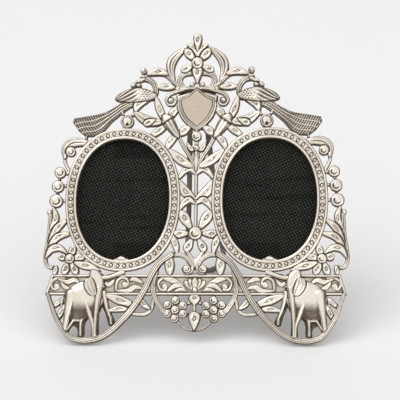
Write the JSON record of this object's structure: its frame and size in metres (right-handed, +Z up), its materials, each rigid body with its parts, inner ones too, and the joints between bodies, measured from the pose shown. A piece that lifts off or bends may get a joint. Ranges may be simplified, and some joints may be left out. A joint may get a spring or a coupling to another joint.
{
  "type": "double photo frame",
  "caption": "Pierced silver double photo frame with two oval windows, foliage, peacocks and elephants, leaning on a hinged loop strut.",
  "frame": {"origin": "on the surface the frame stands on, at the middle of its footprint box", "axes": "+X to the viewer's right, the front looks along -Y, +Z up"},
  "size_m": [0.194, 0.1181, 0.1733],
  "materials": {
    "cast_silver": "polished",
    "rim_silver": "polished",
    "shield_silver": "satin",
    "band_silver": "satin",
    "back_silver": "satin",
    "glass": "clear",
    "black_cloth": "woven",
    "brass": "satin",
    "pin_steel": "satin"
  },
  "bodies": {
    "plaque": {"crest": "cast_silver", "left_branch": "cast_silver", "right_branch": "cast_silver", "shield_border": "shield_silver", "shield_panel": "shield_silver", "left_peacock": "cast_silver", "right_peacock": "cast_silver", "left_bell_spray": "cast_silver", "right_bell_spray": "cast_silver", "centre_column": "cast_silver", "rosette": "cast_silver", "left_side_spray": "cast_silver", "right_side_spray": "cast_silver", "left_ribbon_foot": "cast_silver", "right_ribbon_foot": "cast_silver", "left_elephant": "cast_silver", "right_elephant": "cast_silver", "base_band": "band_silver", "pendant": "cast_silver", "left_rim": "rim_silver", "right_rim": "rim_silver", "left_lining": "back_silver", "right_lining": "back_silver", "left_glass": "glass", "right_glass": "glass", "left_backing_board": "black_cloth", "right_backing_board": "black_cloth", "button_rivets": "back_silver", "hinge_plate": "back_silver", "hinge_pin": "pin_steel"},
    "strut": {"strut_barrel": "back_silver", "strut_loop": "back_silver"},
    "left_top_button": {"left_top_button": "brass"},
    "left_bottom_button": {"left_bottom_button": "brass"},
    "right_top_button": {"right_top_button": "brass"},
    "right_bottom_button": {"right_bottom_button": "brass"}
  },
  "joints": [
    {"name": "strut_hinge", "type": "hinge", "parent": "plaque", "child": "strut", "pos_m": [0, 0.02919, 0.12585], "axis": [1, 0, 0], "range_deg": [-44, 0]},
    {"name": "left_top_button_turn", "type": "hinge", "parent": "plaque", "child": "left_top_button", "pos_m": [-0.047, 0.02158, 0.11216], "axis": [0, 0.848, -0.5299], "range_deg": [0, 90]},
    {"name": "left_bottom_button_turn", "type": "hinge", "parent": "plaque", "child": "left_bottom_button", "pos_m": [-0.047, -0.02495, 0.0377], "axis": [0, -0.848, 0.5299], "range_deg": [0, 90]},
    {"name": "right_top_button_turn", "type": "hinge", "parent": "plaque", "child": "right_top_button", "pos_m": [0.047, 0.02158, 0.11216], "axis": [0, -0.848, 0.5299], "range_deg": [0, 90]},
    {"name": "right_bottom_button_turn", "type": "hinge", "parent": "plaque", "child": "right_bottom_button", "pos_m": [0.047, -0.02495, 0.0377], "axis": [0, 0.848, -0.5299], "range_deg": [0, 90]}
  ]
}
